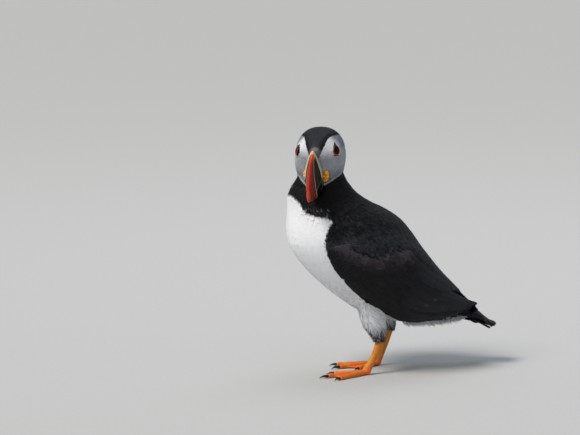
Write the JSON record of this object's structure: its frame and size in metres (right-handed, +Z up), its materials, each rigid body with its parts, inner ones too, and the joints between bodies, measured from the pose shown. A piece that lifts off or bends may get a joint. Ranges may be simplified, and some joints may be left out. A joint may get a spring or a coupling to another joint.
{
  "type": "atlantic puffin",
  "caption": "Atlantic puffin standing on webbed feet, head turned to its left, with a tall flat bill, folded wings and a short tail.",
  "frame": {"origin": "centre of the bounding box on the floor that the feet stand on", "axes": "+Z up; the body faces -X, so the tail is towards +X; the bird's left side is towards -Y"},
  "size_m": [0.184, 0.0978, 0.2046],
  "materials": {
    "black_feather": "soft black feathers with a faint brown sheen",
    "white_feather": "soft white feathers",
    "cheek_feather": "short pale grey feathers",
    "orange_skin": "moist scaled skin",
    "bill_red": "polished grooved horn",
    "cere_cream": "pitted pale skin",
    "rosette_yellow": "wrinkled fleshy skin",
    "claw_horn": "smooth black horn",
    "eye_glass": "wet dark eye"
  },
  "bodies": {
    "root": {"head": "cheek_feather", "neck": "black_feather", "trunk": "white_feather", "tail": "black_feather", "wing_left": "black_feather", "wing_right": "black_feather", "thigh_left": "white_feather", "thigh_right": "white_feather", "foot_left": "orange_skin", "foot_right": "orange_skin", "claw_left_outer": "claw_horn", "claw_left_middle": "claw_horn", "claw_left_inner": "claw_horn", "claw_right_outer": "claw_horn", "claw_right_middle": "claw_horn", "claw_right_inner": "claw_horn", "bill_base": "cere_cream", "bill_upper": "bill_red", "bill_lower": "bill_red", "rosette_left": "rosette_yellow", "rosette_right": "rosette_yellow", "eye_left": "eye_glass", "eye_right": "eye_glass"}
  },
  "joints": []
}
